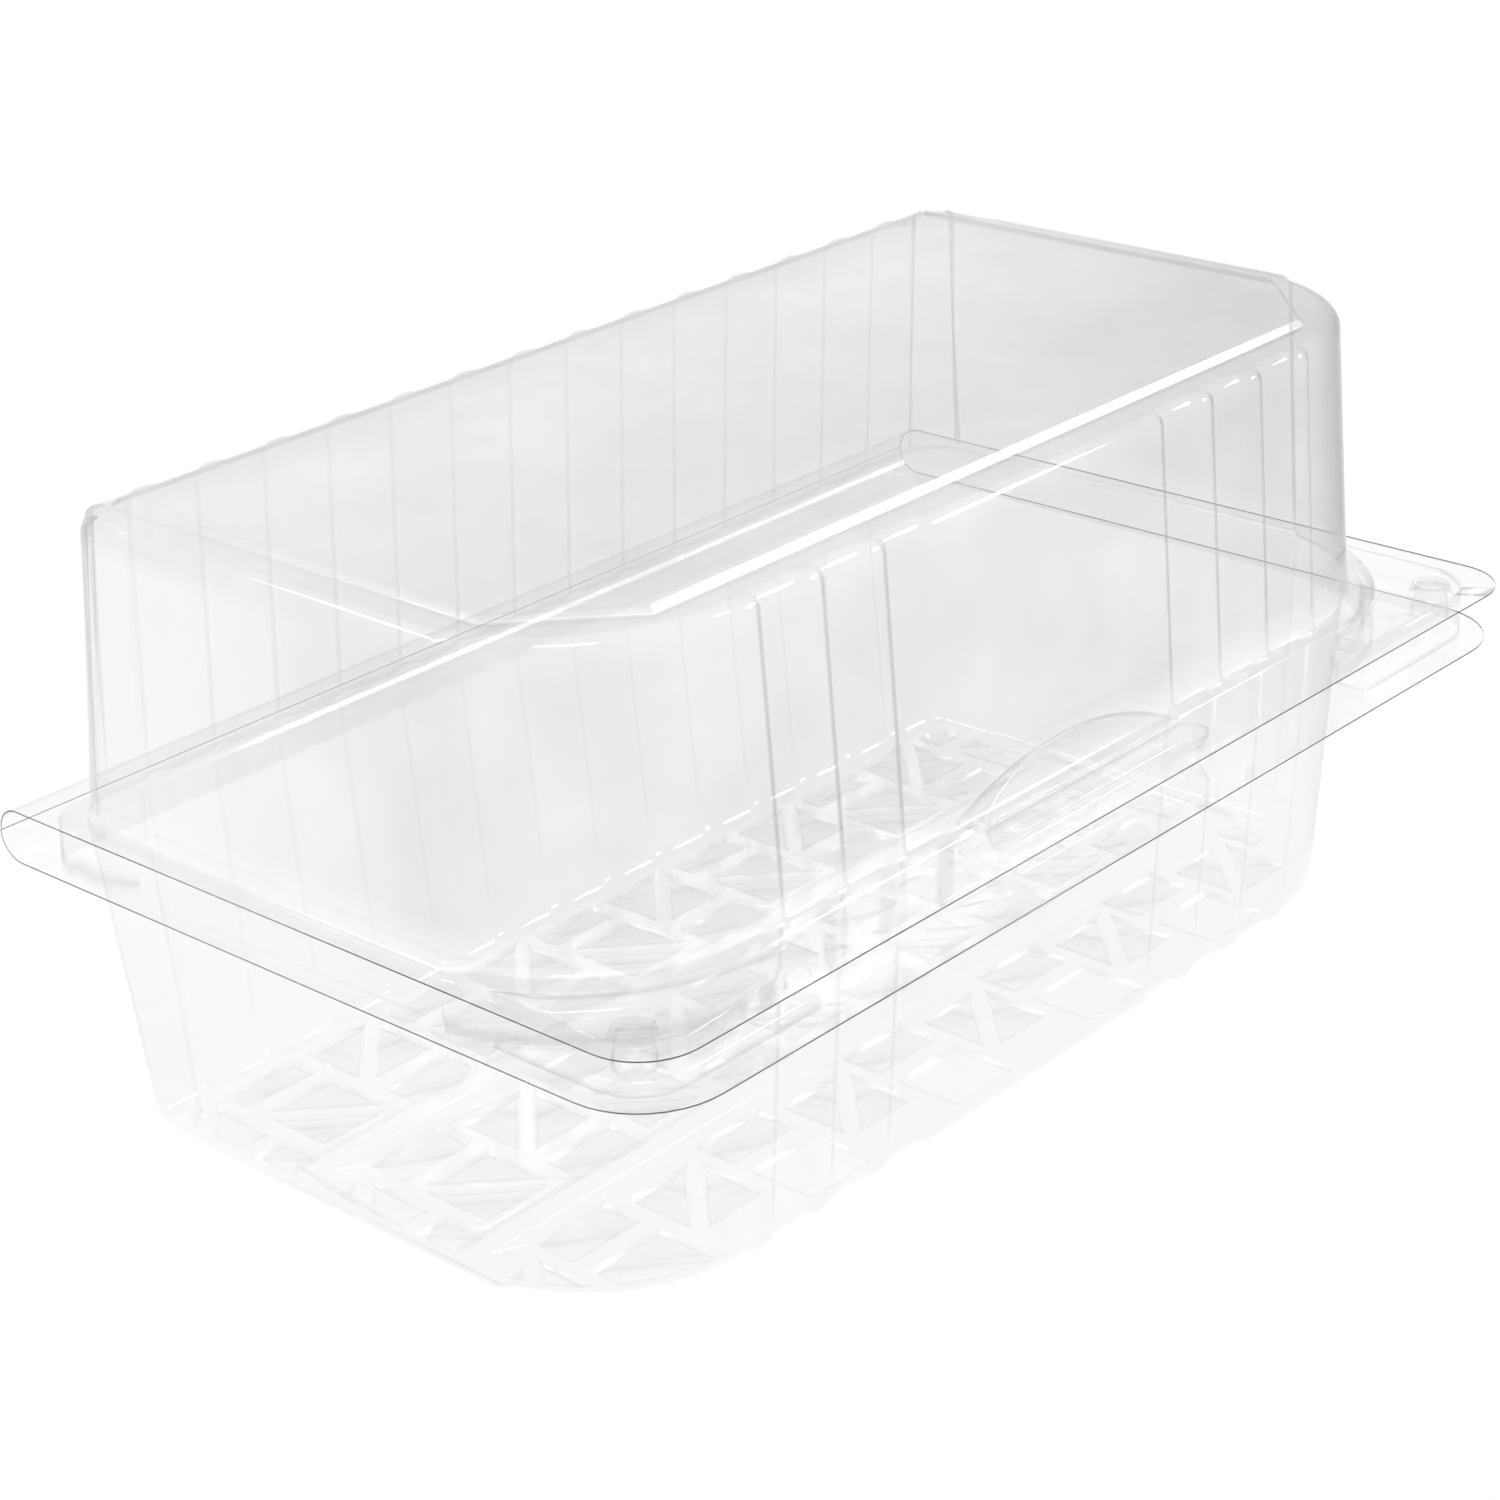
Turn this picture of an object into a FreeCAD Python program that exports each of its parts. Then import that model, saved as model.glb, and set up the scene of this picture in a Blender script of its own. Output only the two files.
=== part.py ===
import FreeCAD, Part
import math
import os

# Hinged clear food box, formed from one plastic sheet: a tub, a taller lid and
# the rolled fold that joins them. Millimetres. X runs along the box, -Y is the
# opening side, +Y the hinge side, +Z up. Z = 0 is the surface it stands on.

# ---------------------------------------------------------------- sheet, flanges
sheet = 0.45                  # thickness of the formed sheet
length = 230.0                # flange length, end to end
front_edge = -72.2            # front edge of both flanges
back_edge = 72.2              # outermost line of the hinge roll
base_flange_corner = 14.8     # radius of the flanges' front corners
lid_flange_corner = 10.5
base_height = 49.3            # underside of the base flange
flange_gap = 9.2              # base flange to lid flange, sheet to sheet
lid_height = 51.4             # lid flange to lid top
lid_clearance = 0.3           # air between the closed lid and the base
hinge_slit = 0.1              # air at the middle of the hinge roll

# ---------------------------------------------------------------- walls
flange_reach = 10.2           # end of the floor to the end of the flange
base_front = -50.9            # front wall of the base, at the floor
base_front_radius = 31.3      # front corner radius at the base floor
lid_spread = 2.1              # how much wider the lid top is than the base floor
base_back_radius = 4.8        # small corners beside the hinge
lid_back_radius = 7.4
base_back = 55.6              # back wall of the base, at the floor
lid_back = 56.4               # back wall of the lid, at the top
base_draft = 4.24             # degrees
lid_draft = 3.3
base_edge_radius = 2.6        # floor to wall
lid_edge_radius = 2.5         # top to wall
lid_root_radius = 1.5         # wall to lid flange
edge_steps = 2                # flat strips that make up such an edge
front_corner_steps = 10       # and the corners of a drawn wall
back_corner_steps = 4

# ---------------------------------------------------------------- ribs
rib_top = 2.0                 # width of a rib's flat top
rib_flank = 1.9               # width of each sloping side
rib_depth = 1.2
rib_margin = 3.0              # middle of the last front rib to where the corner starts
front_rib_places = (3, 4, 5)  # pitches from the middle, each side
front_panel_reach = 2         # pitches from the middle to the panel's edge
back_rib_count = 14
end_panel_front = -27.2       # raised panel of each end wall
end_panel_back = 39.4
end_panel_depth = 0.7

# ---------------------------------------------------------------- base rim
ridge_width = 2.6            # rim ridge, outside the wall's ribs
ridge_flare = 0.5             # slope of its outer side
platform_height = 2.6         # raised parts of the base flange
platform_draw = 1.0           # slope of their sides

# ---------------------------------------------------------------- lid top
panel_inset = 6.6             # lid top edge to the raised panel
panel_back_inset = 3.7
panel_chamfer = 17.8          # cut corners at the front
panel_rise = 1.2
panel_draw = 1.0

# ---------------------------------------------------------------- lock and buttons
lock_half_length = 27.6
lock_back = -60.5
lock_corner = 2.9
lock_corner_steps = 3
pad_front = -67.3             # front line of the lock and the corner pads
pad_border = 4.0              # end line of the corner pads to the flange end
pad_run = 0.5                 # inner end of the corner pads, past the corner centre
pad_spread = 9.7              # their inner side, outside the floor's corner
pad_corner = 9.4
recess_depth = 2.9
recess_draw = 1.2
ramp_half_length = 27.0       # arched ramp from the lock recess up to the lid wall
ramp_height = 5.8
ramp_front = -60.2
ramp_run = 4.4
button_border = 9.8           # middle of a button to the flange end
button_y = -60.2
button_radius = 4.2
button_height = 2.4
button_draw = 0.8
button_sides = 14

# ---------------------------------------------------------------- base floor
floor_rise = 0.8              # floor above the pads that it stands on
pad_size = 15.5
pad_pitch_x = 18.6
pad_pitch_y = 19.2
pad_rows = 7
pad_row_start = 5.9           # middle row of the even columns
pad_draw = 0.6
bar_width = 2.2               # diagonal bar across a pad
shortest_pad = 5.0
groove_places = (-18.4, 20.1)
groove_foot = 5.0
groove_top = 2.6
groove_height = 2.0
groove_border = 3.8           # end of a groove to the end wall
strip_gap = 1.2               # pad to groove and pad to floor edge

# ---------------------------------------------------------------- worked out
half_length = length / 2
base_end = half_length - flange_reach
corner_x = base_end - base_front_radius       # centre of the large front corners
corner_y = base_front + base_front_radius
lid_front_radius = base_front_radius + lid_spread
rib_pitch = (corner_x - rib_margin) / front_rib_places[-1]
pad_end = half_length - pad_border
pad_start = corner_x - pad_run
pad_ring = base_front_radius + pad_spread
button_x = half_length - button_border
groove_reach = base_end - groove_border
pad_columns = 2 * math.ceil(base_end / pad_pitch_x)
lid_bottom = base_height + flange_gap
lid_top = lid_bottom + lid_height
ridge_top = lid_bottom - lid_clearance
roll_radius = (flange_gap + sheet) / 2
roll_y = back_edge - roll_radius
roll_z = base_height + roll_radius
base_sizes = (base_front_radius, base_back, base_back_radius)
lid_sizes = (lid_front_radius, lid_back, lid_back_radius)


def point(x, y, z):
    return FreeCAD.Vector(x, y, z)


def arc(cx, cy, radius, start, end, z):
    """Arc about (cx, cy), angles in degrees, in the direction of travel."""
    middle = (start + end) / 2
    ends = []
    for angle in (start, middle, end):
        a = math.radians(angle)
        ends.append(point(cx + radius * math.cos(a), cy + radius * math.sin(a), z))
    return Part.Arc(*ends).toShape()


def joined(parts, z):
    """Closed wire from a list of points and arcs, in order."""
    edges = []
    first = last = None
    for part in parts:
        if isinstance(part, tuple):
            start = end = point(part[0], part[1], z)
        else:
            start, end = part.valueAt(part.FirstParameter), part.valueAt(part.LastParameter)
        if last is not None and last.distanceToPoint(start) > 1e-6:
            edges.append(Part.makeLine(last, start))
        if not isinstance(part, tuple):
            edges.append(part)
        first = first or start
        last = end
    if last.distanceToPoint(first) > 1e-6:
        edges.append(Part.makeLine(last, first))
    return Part.Wire(edges)


def raised(start, end, low, high, mitre):
    """One rib or panel on a wall: (along, out) points from its start to its end."""
    return [
        (start - rib_flank + mitre, low),
        (start + mitre, high),
        (end - mitre, high),
        (end + rib_flank - mitre, low),
    ]


def front_features():
    panel = front_panel_reach * rib_pitch + rib_top / 2
    ribs = [(n * rib_pitch - rib_top / 2, n * rib_pitch + rib_top / 2) for n in front_rib_places]
    left = sorted((-b, -a) for a, b in ribs)
    return left + [(-panel, panel)] + ribs


def back_features():
    first = -(back_rib_count - 1) / 2
    centres = [(first + n) * rib_pitch for n in range(back_rib_count)]
    return [(c - rib_top / 2, c + rib_top / 2) for c in centres]


def fan(cx, cy, radius, start, end, steps):
    """Points round a drawn corner, so that every face of its loft is flat."""
    angles = [math.radians(start + (end - start) * n / steps) for n in range(steps + 1)]
    return [(cx + radius * math.cos(a), cy + radius * math.sin(a)) for a in angles]


def wall_wire(wall, draft, inward, inset, z):
    """Section of a ribbed wall. draft is how far its slope has moved it out,
    inward how far a rounded edge takes it in, and inset how far it lies inside."""
    front_radius, back, back_radius = wall
    out = draft - inward - inset
    r = front_radius + out
    rb = back_radius - inward - inset
    x = corner_x + r
    yf = corner_y - r
    yb = back + out
    mitre = inset * math.tan(math.atan2(rib_depth, rib_flank) / 2)
    end_mitre = inset * math.tan(math.atan2(end_panel_depth, rib_flank) / 2)
    foot = end_panel_front - rib_flank + end_mitre
    turn = math.degrees(math.asin((corner_y - foot) / r))
    end_panel = raised(end_panel_front, end_panel_back, x, x + end_panel_depth, end_mitre)[1:]
    points = []
    for a, b in front_features():
        points += raised(a, b, yf, yf - rib_depth, mitre)
    points += fan(corner_x, corner_y, r, -90, -turn, front_corner_steps)
    points += [(side, y) for y, side in end_panel]
    points += fan(x - rb, yb - rb, rb, 0, 90, back_corner_steps)
    for a, b in reversed(back_features()):
        points += reversed(raised(a, b, yb, yb + rib_depth, mitre))
    points += fan(rb - x, yb - rb, rb, 90, 180, back_corner_steps)
    points += [(-side, y) for y, side in reversed(end_panel)]
    points += fan(-corner_x, corner_y, r, 180 + turn, 270, front_corner_steps)
    return polygon(points, z)


def polygon(points, z):
    return Part.makePolygon([point(x, y, z) for x, y in points + points[:1]])


def loft(wires):
    return Part.makeLoft(wires, True, True)


def rounded_edge(radius):
    """(inward, upward) steps of a quarter round that turns from wall to flat."""
    angles = [math.radians(90 * n / edge_steps) for n in range(edge_steps + 1)]
    return [(radius * (1 - math.cos(a)), radius * math.sin(a)) for a in angles]


def base_wall(inset):
    """Solid inside the base wall's outer (inset 0) or inner (inset sheet) skin."""
    slope = math.tan(math.radians(base_draft))
    floor = floor_rise + inset
    radius = base_edge_radius - inset
    wires = []
    for inward, up in reversed(rounded_edge(radius)):
        z = floor + radius - up
        wires.append(wall_wire(base_sizes, z * slope, inward, inset, z))
    top = ridge_top + (sheet if inset else 0)
    wires.append(wall_wire(base_sizes, top * slope, 0, inset, top))
    return loft(wires)


def lid_wall(inset):
    """Solid inside the lid wall's outer or inner skin."""
    slope = math.tan(math.radians(lid_draft))
    top = lid_top - inset
    radius = lid_edge_radius - inset
    root = lid_root_radius + inset
    flange_face = lid_bottom + (0 if inset else sheet)
    wires = []
    for inward, up in reversed(rounded_edge(root)):
        z = flange_face + root - up
        wires.append(wall_wire(lid_sizes, (lid_top - z) * slope, -inward, inset, z))
    if inset:
        lowest = wires[0]
        below = lowest.translated(point(0, 0, -sheet))
        wires.insert(0, below)
    for inward, up in rounded_edge(radius):
        z = top - radius + up
        wires.append(wall_wire(lid_sizes, (lid_top - z) * slope, inward, inset, z))
    return loft(wires)


def rim_wire(reach, back, corner, inset, z):
    """Plain outline round the corner centres, with reach as its front radius."""
    r = reach - inset
    x = corner_x + r
    yb = back - inset
    rb = corner - inset
    points = fan(corner_x, corner_y, r, -90, 0, front_corner_steps)
    points += fan(x - rb, yb - rb, rb, 0, 90, back_corner_steps)
    points += fan(rb - x, yb - rb, rb, 90, 180, back_corner_steps)
    points += fan(-corner_x, corner_y, r, 180, 270, front_corner_steps)
    return polygon(points, z)


def ridge(inset):
    """Solid inside the outer side of the rim ridge."""
    slope = math.tan(math.radians(base_draft))
    reach = base_front_radius + rib_depth + ridge_top * slope + ridge_width
    back = base_back + rib_depth + ridge_top * slope + ridge_width
    corner = base_back_radius + rib_depth + ridge_width
    low = base_height - inset
    high = ridge_top - inset
    return loft([
        rim_wire(reach + ridge_flare, back + ridge_flare, corner + ridge_flare, inset, low),
        rim_wire(reach, back, corner, inset, high),
    ])


def flange_plate(bottom, r):
    """Flat flange with rounded front corners, up to where the hinge roll starts."""
    x = half_length
    wire = joined([
        arc(x - r, front_edge + r, r, -90, 0, bottom),
        (x, roll_y),
        (-x, roll_y),
        arc(r - x, front_edge + r, r, 180, 270, bottom),
    ], bottom)
    return Part.Face(wire).extrude(point(0, 0, sheet))


def roll_half(side):
    """Quarter of the hinge roll, side -1 below the slit and 1 above it."""
    start = math.asin(hinge_slit / 2 / roll_radius)
    angles = (start, (start + math.pi / 2) / 2, math.pi / 2)
    rims = []
    for radius in (roll_radius, roll_radius - sheet):
        rims.append([point(-half_length, roll_y + radius * math.cos(a),
                           roll_z + side * radius * math.sin(a)) for a in angles])
    outer, inner = rims
    edges = [
        Part.Arc(*outer).toShape(),
        Part.makeLine(outer[2], inner[2]),
        Part.Arc(*reversed(inner)).toShape(),
        Part.makeLine(inner[0], outer[0]),
    ]
    return Part.Face(Part.Wire(edges)).extrude(point(length, 0, 0))


def lock_wire(cut, z):
    """Outline of the lock, moved in by cut."""
    x = lock_half_length - lock_corner
    low, high = pad_front + lock_corner, lock_back - lock_corner
    centres = [(x, low, -90), (x, high, 0), (-x, high, 90), (-x, low, 180)]
    points = []
    for cx, cy, start in centres:
        points += fan(cx, cy, lock_corner - cut, start, start + 90, lock_corner_steps)
    return polygon(points, z)


def lock_recess(inset, low, high):
    """Solid inside the lock recess of the lid, narrow at its low end."""
    return loft([lock_wire(inset + recess_draw, low), lock_wire(inset, high)])


def lock_step(inset):
    """Solid inside the step on the base flange under the lock, narrow at the top."""
    top = base_height + sheet + platform_height - inset
    return loft([lock_wire(inset, base_height), lock_wire(inset + platform_draw, top)])


def corner_wire(side, inset, z):
    """Outline of a corner pad: two straight sides, a round corner and the arc
    that it leaves round the box's own corner."""
    ring = pad_ring + inset
    end = pad_end - inset
    front = pad_front + inset
    start = pad_start + inset
    r = pad_corner - inset
    high = math.degrees(math.acos((end - corner_x) / ring))
    low = math.degrees(math.acos((start - corner_x) / ring))
    outline = joined([
        (start, front),
        arc(end - r, front + r, r, -90, 0, z),
        arc(corner_x, corner_y, ring, -high, -low, z),
    ], z)
    if side < 0:
        outline = outline.mirror(point(0, 0, 0), point(1, 0, 0))
    return outline


def corner_block(side, inset, low, high):
    face = Part.Face(corner_wire(side, inset, low))
    return face.extrude(point(0, 0, high - low))


def button(side, radius, low, high):
    """Round stud with sloping sides, narrow at the top."""
    x = side * button_x
    rings = [(radius, low), (radius - button_draw, high)]
    return loft([polygon(fan(x, button_y, r, 0, 360, button_sides)[1:], z) for r, z in rings])


def floor_reach(size):
    """A wall size at the height where the floor is flat, less the strip gap."""
    slope = math.tan(math.radians(base_draft))
    return size + (floor_rise + base_edge_radius) * slope - base_edge_radius - strip_gap


def on_floor(x, y):
    """Whether a point lies inside the flat floor's round front corners."""
    beside = max(0.0, abs(x) - corner_x)
    before = max(0.0, corner_y - y)
    return math.hypot(beside, before) < floor_reach(base_front_radius)


def floor_strips():
    """(low, high) y limits of the three strips between the grooves."""
    reach = groove_foot / 2 + strip_gap
    lows = [corner_y - floor_reach(base_front_radius)] + [g + reach for g in groove_places]
    highs = [g - reach for g in groove_places] + [floor_reach(base_back)]
    return list(zip(lows, highs))


def floor_pads():
    """(x0, x1, y0, y1, slant) of every pad. slant is 0 on a pad that is cut short."""
    pads = []
    end = corner_x + floor_reach(base_front_radius)
    half = pad_size / 2
    for column in range(pad_columns):
        x = (column - (pad_columns - 1) / 2) * pad_pitch_x
        x0, x1 = max(x - half, -end), min(x + half, end)
        odd = column % 2
        for row in range(pad_rows):
            y = (row - pad_rows // 2 + odd / 2) * pad_pitch_y + pad_row_start
            for low, high in floor_strips():
                y0, y1 = max(y - half, low), min(y + half, high)
                if min(x1 - x0, y1 - y0) < shortest_pad or not on_floor((x0 + x1) / 2, (y0 + y1) / 2):
                    continue
                corners = [on_floor(a, y0) for a in (x0, x1)]
                whole = min(x1 - x0, y1 - y0) > pad_size - 0.01 and all(corners)
                slant = (-1 if odd else 1) if whole else 0
                pads.append((x0, x1, y0, y1, slant))
    return pads


def shrunk(points, by):
    """Convex outline, counterclockwise, with every side moved in."""
    count = len(points)
    lines = []
    for n in range(count):
        (x0, y0), (x1, y1) = points[n], points[(n + 1) % count]
        run = math.hypot(x1 - x0, y1 - y0)
        nx, ny = -(y1 - y0) / run, (x1 - x0) / run
        lines.append((nx, ny, nx * x0 + ny * y0 + by))
    moved = []
    for n in range(count):
        a, b, c = lines[n - 1]
        d, e, f = lines[n]
        det = a * e - b * d
        moved.append(((c * e - b * f) / det, (a * f - c * d) / det))
    return moved


def pad_outlines():
    outlines = []
    for x0, x1, y0, y1, slant in floor_pads():
        if not slant:
            outlines.append([(x0, y0), (x1, y0), (x1, y1), (x0, y1)])
            continue
        gap = bar_width / math.sqrt(2)
        if slant > 0:
            outlines.append([(x0 + gap, y0), (x1, y0), (x1, y1 - gap)])
            outlines.append([(x0, y0 + gap), (x1 - gap, y1), (x0, y1)])
        else:
            outlines.append([(x0, y0), (x1 - gap, y0), (x0, y1 - gap)])
            outlines.append([(x1, y0 + gap), (x1, y1), (x0 + gap, y1)])
    return outlines


def pad_feet(lift):
    """Every pad as a drawn block, from its foot to the floor, moved up by lift."""
    blocks = []
    overlap = 0.1
    for outline in pad_outlines():
        flat = shrunk(outline, pad_draw + lift)
        wide = shrunk(outline, lift - pad_draw * overlap / floor_rise)
        top = floor_rise + lift + overlap
        blocks.append(loft([polygon(flat, lift), polygon(wide, top)]))
    reach = floor_reach(base_front_radius)
    zone = Part.Face(rim_wire(reach, floor_reach(base_back), base_back_radius, lift, 0))
    return Part.makeCompound(blocks).common(zone.extrude(point(0, 0, 2 * floor_rise + lift)))


def grooves(drop):
    """Channels pressed up into the floor, as bars. drop lowers them by the sheet."""
    bars = []
    for y in groove_places:
        wires = []
        for half_foot, reach, z in (
                (groove_foot / 2 - drop, groove_reach - drop, floor_rise),
                (groove_top / 2 - drop, groove_reach - drop - groove_height,
                 floor_rise + sheet + groove_height - drop)):
            wires.append(polygon([(-reach, y - half_foot), (reach, y - half_foot),
                                  (reach, y + half_foot), (-reach, y + half_foot)], z))
        bars.append(loft(wires))
    return Part.makeCompound(bars)


def build_base():
    outer = base_wall(0)
    inner = base_wall(sheet)
    rim = ridge(0).cut(ridge(sheet))
    plate = flange_plate(base_height, base_flange_corner).cut(ridge(sheet))
    top = base_height + sheet + platform_height
    body = outer.cut(inner).fuse([rim.cut(inner).cut(outer), plate, roll_half(-1)])
    # raised parts of the flange: the lock step and the two corner steps
    steps = [lock_step(0)]
    hollows = [lock_step(sheet)]
    for side in (-1, 1):
        steps.append(corner_block(side, 0, base_height, top))
        steps.append(button(side, button_radius - sheet - lid_clearance, top - sheet,
                            lid_bottom - recess_depth + button_height - lid_clearance))
        hollows.append(corner_block(side, sheet, base_height, top - sheet))
        hollows.append(button(side, button_radius - 2 * sheet - lid_clearance, base_height,
                              lid_bottom - recess_depth + button_height - lid_clearance - sheet))
    body = body.fuse(steps).cut(hollows)
    body = body.fuse([pad_feet(0), grooves(0)])
    body = body.cut([pad_feet(sheet), grooves(sheet)])
    return body


def lid_panel(inset):
    """Raised panel of the lid's top, with cut front corners."""
    slope_inset = panel_inset + inset
    x = corner_x + lid_front_radius - slope_inset
    front = corner_y - lid_front_radius + slope_inset
    back = lid_back - panel_back_inset - inset
    cut = panel_chamfer - inset * (2 - math.sqrt(2))
    outline = [(-x + cut, front), (x - cut, front), (x, front + cut),
               (x, back), (-x, back), (-x, front + cut)]
    low = lid_top - sheet - inset
    return loft([polygon(outline, low), polygon(outline, lid_top - inset),
                 polygon(shrunk(outline, panel_draw), lid_top + panel_rise - inset)])


def ramp(inset):
    """Solid inside the arched ramp at the foot of the lid's middle front panel."""
    low = lid_bottom + sheet / 2 - inset
    high = low + ramp_height
    slant = math.hypot(ramp_run, ramp_height) / ramp_height
    front = ramp_front + inset * slant
    back = ramp_front + 2 * ramp_run
    half = ramp_half_length - inset
    arch = Part.Arc(point(-half, front, low), point(0, front, high), point(half, front, low))
    chord = Part.makeLine(point(half, front, low), point(-half, front, low))
    block = Part.Face(Part.Wire([arch.toShape(), chord])).extrude(point(0, back - front, 0))
    side = [point(-half, y, z) for y, z in
            ((front, low), (back, low), (back, high), (front + ramp_run, high), (front, low))]
    return block.common(Part.Face(Part.makePolygon(side)).extrude(point(2 * half, 0, 0)))


def build_lid():
    outer = lid_wall(0)
    inner = lid_wall(sheet)
    body = outer.fuse([flange_plate(lid_bottom, lid_flange_corner), roll_half(1), lid_panel(0), ramp(0)])
    body = body.cut([inner, lid_panel(sheet), ramp(sheet)])
    floor = lid_bottom - recess_depth
    cups = [lock_recess(0, floor, lid_bottom + sheet / 2)]
    hollows = [lock_recess(sheet, floor + sheet, lid_bottom + sheet + 0.01)]
    for side in (-1, 1):
        cups.append(corner_block(side, 0, floor, lid_bottom + sheet / 2))
        hollows.append(corner_block(side, sheet, floor + sheet, lid_bottom + 2 * sheet))
    body = body.fuse(cups).cut(hollows)
    domes = [button(side, button_radius, floor, floor + sheet + button_height) for side in (-1, 1)]
    caves = [button(side, button_radius - sheet, floor - 0.01, floor + button_height) for side in (-1, 1)]
    return body.fuse(domes).cut(caves)


def main():
    os.makedirs("parts", exist_ok=True)
    for name, shape in (("base_tub", build_base()), ("lid", build_lid())):
        solids = shape.Solids
        print(name, "solids", len(solids), "valid", shape.isValid(), "volume", round(shape.Volume, 1))
        solids[0].exportStep("parts/" + name + ".step")


main()
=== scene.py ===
import math

import bmesh
import bpy
from bpy.props import FloatProperty, FloatVectorProperty, IntProperty, PointerProperty
from bpy.types import Operator, Panel, PropertyGroup
from mathutils import Matrix, Vector


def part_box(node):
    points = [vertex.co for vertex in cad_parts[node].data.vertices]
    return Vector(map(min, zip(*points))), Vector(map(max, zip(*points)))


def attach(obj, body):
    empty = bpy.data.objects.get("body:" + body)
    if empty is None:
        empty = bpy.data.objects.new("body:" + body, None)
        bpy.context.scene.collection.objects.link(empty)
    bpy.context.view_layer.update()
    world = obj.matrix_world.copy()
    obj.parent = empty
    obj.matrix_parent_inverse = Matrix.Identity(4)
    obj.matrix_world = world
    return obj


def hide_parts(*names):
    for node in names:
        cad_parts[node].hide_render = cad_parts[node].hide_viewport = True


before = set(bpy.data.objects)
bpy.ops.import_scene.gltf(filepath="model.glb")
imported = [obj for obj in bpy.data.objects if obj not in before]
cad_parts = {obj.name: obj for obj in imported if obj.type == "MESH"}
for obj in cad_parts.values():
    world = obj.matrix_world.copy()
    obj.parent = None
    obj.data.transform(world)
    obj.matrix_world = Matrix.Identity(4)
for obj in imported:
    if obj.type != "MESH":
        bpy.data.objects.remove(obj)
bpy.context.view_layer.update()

bl_info = {
    "name": "Hinged clear food box",
    "version": (1, 0, 0),
    "blender": (4, 5, 0),
    "location": "3D View > Sidebar > Food box",
    "description": "Formed clear sheets of a hinged food box, and its white stage",
    "category": "Object",
}

TUB_LOW, TUB_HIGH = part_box("base_tub")
LID_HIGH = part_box("lid")[1]
HINGE_RADIUS = 0.004825
HINGE_HEIGHT = 0.054125


def length_prop(name, description, default):
    return FloatProperty(name=name, description=description, default=default, unit="LENGTH", precision=5)


class FoodBoxSheet(PropertyGroup):
    thickness: length_prop("Thickness", "Thickness of the formed sheet", 0.00025)
    fold: length_prop("Fold", "Width of the rounding along a fold", 0.0005)
    rib_round: length_prop("Rib rounding", "Width of the rounding along a rib", 0.0003)
    corner_steps: IntProperty(name="Corner steps", description="Facets round a large corner", default=22)
    clear_tint: FloatVectorProperty(
        name="Clear tint", description="Colour of the sheet where it is looked at squarely",
        subtype="COLOR", size=3, min=0, max=1, default=(0.2, 0.202, 0.196))
    edge_tint: FloatVectorProperty(
        name="Edge tint", description="Colour of the sheet along folds and cut edges",
        subtype="COLOR", size=3, min=0, max=1, default=(0.045, 0.055, 0.045))
    low_tint: FloatVectorProperty(
        name="Low tint", description="Colour along the folds of the tub, which pale light from below fills",
        subtype="COLOR", size=3, min=0, max=1, default=(0.4, 0.41, 0.39))
    haze: FloatProperty(
        name="Haze", description="How much the sheet hides where it is looked at squarely",
        subtype="FACTOR", min=0, max=1, default=0.034)
    edge_haze: FloatProperty(
        name="Edge haze", description="How much the sheet hides where it is looked at along",
        subtype="FACTOR", min=0, max=1, default=0.6)


class FoodBoxShape(PropertyGroup):
    corner_x: length_prop("Corner centre along", "Middle of the large front corners, from the middle", 0.0735)
    corner_y: length_prop("Corner centre across", "Middle of the large front corners, from the middle", -0.0196)
    rib_pitch: length_prop("Rib pitch", "Distance from rib to rib", 0.0141)
    rib_top: length_prop("Rib top", "Width of a rib's flat top", 0.002)
    rib_flank: length_prop("Rib flank", "Width of a rib's sloping side", 0.0019)
    rib_depth: length_prop("Rib depth", "How far a rib stands out of the wall", 0.0012)
    end_panel_front: length_prop("End panel front", "Front line of the panel in each end wall", -0.0272)
    end_panel_back: length_prop("End panel back", "Back line of the panel in each end wall", 0.0394)
    end_panel_depth: length_prop("End panel depth", "How far the end panel stands out", 0.0007)
    pad_front: length_prop("Pad front", "Front line of the lock and the corner pads", -0.0673)
    pad_end: length_prop("Pad end", "End line of the corner pads", 0.111)
    pad_start: length_prop("Pad start", "Inner end of the corner pads", 0.073)
    pad_ring: length_prop("Pad ring", "Radius of the corner pads' inner side", 0.041)
    pad_corner: length_prop("Pad corner", "Radius of the corner pads' outer corner", 0.0094)
    button_x: length_prop("Button along", "Middle of the buttons, from the middle", 0.1052)
    button_y: length_prop("Button across", "Middle of the buttons, from the middle", -0.0602)
    button_radius: length_prop("Button radius", "Radius of a button at its foot", 0.0042)
    lock_half: length_prop("Lock half length", "Half the length of the lock", 0.0276)
    lock_back: length_prop("Lock back", "Back line of the lock", -0.0605)
    lock_corner: length_prop("Lock corner", "Radius of the lock's corners", 0.0029)


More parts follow.
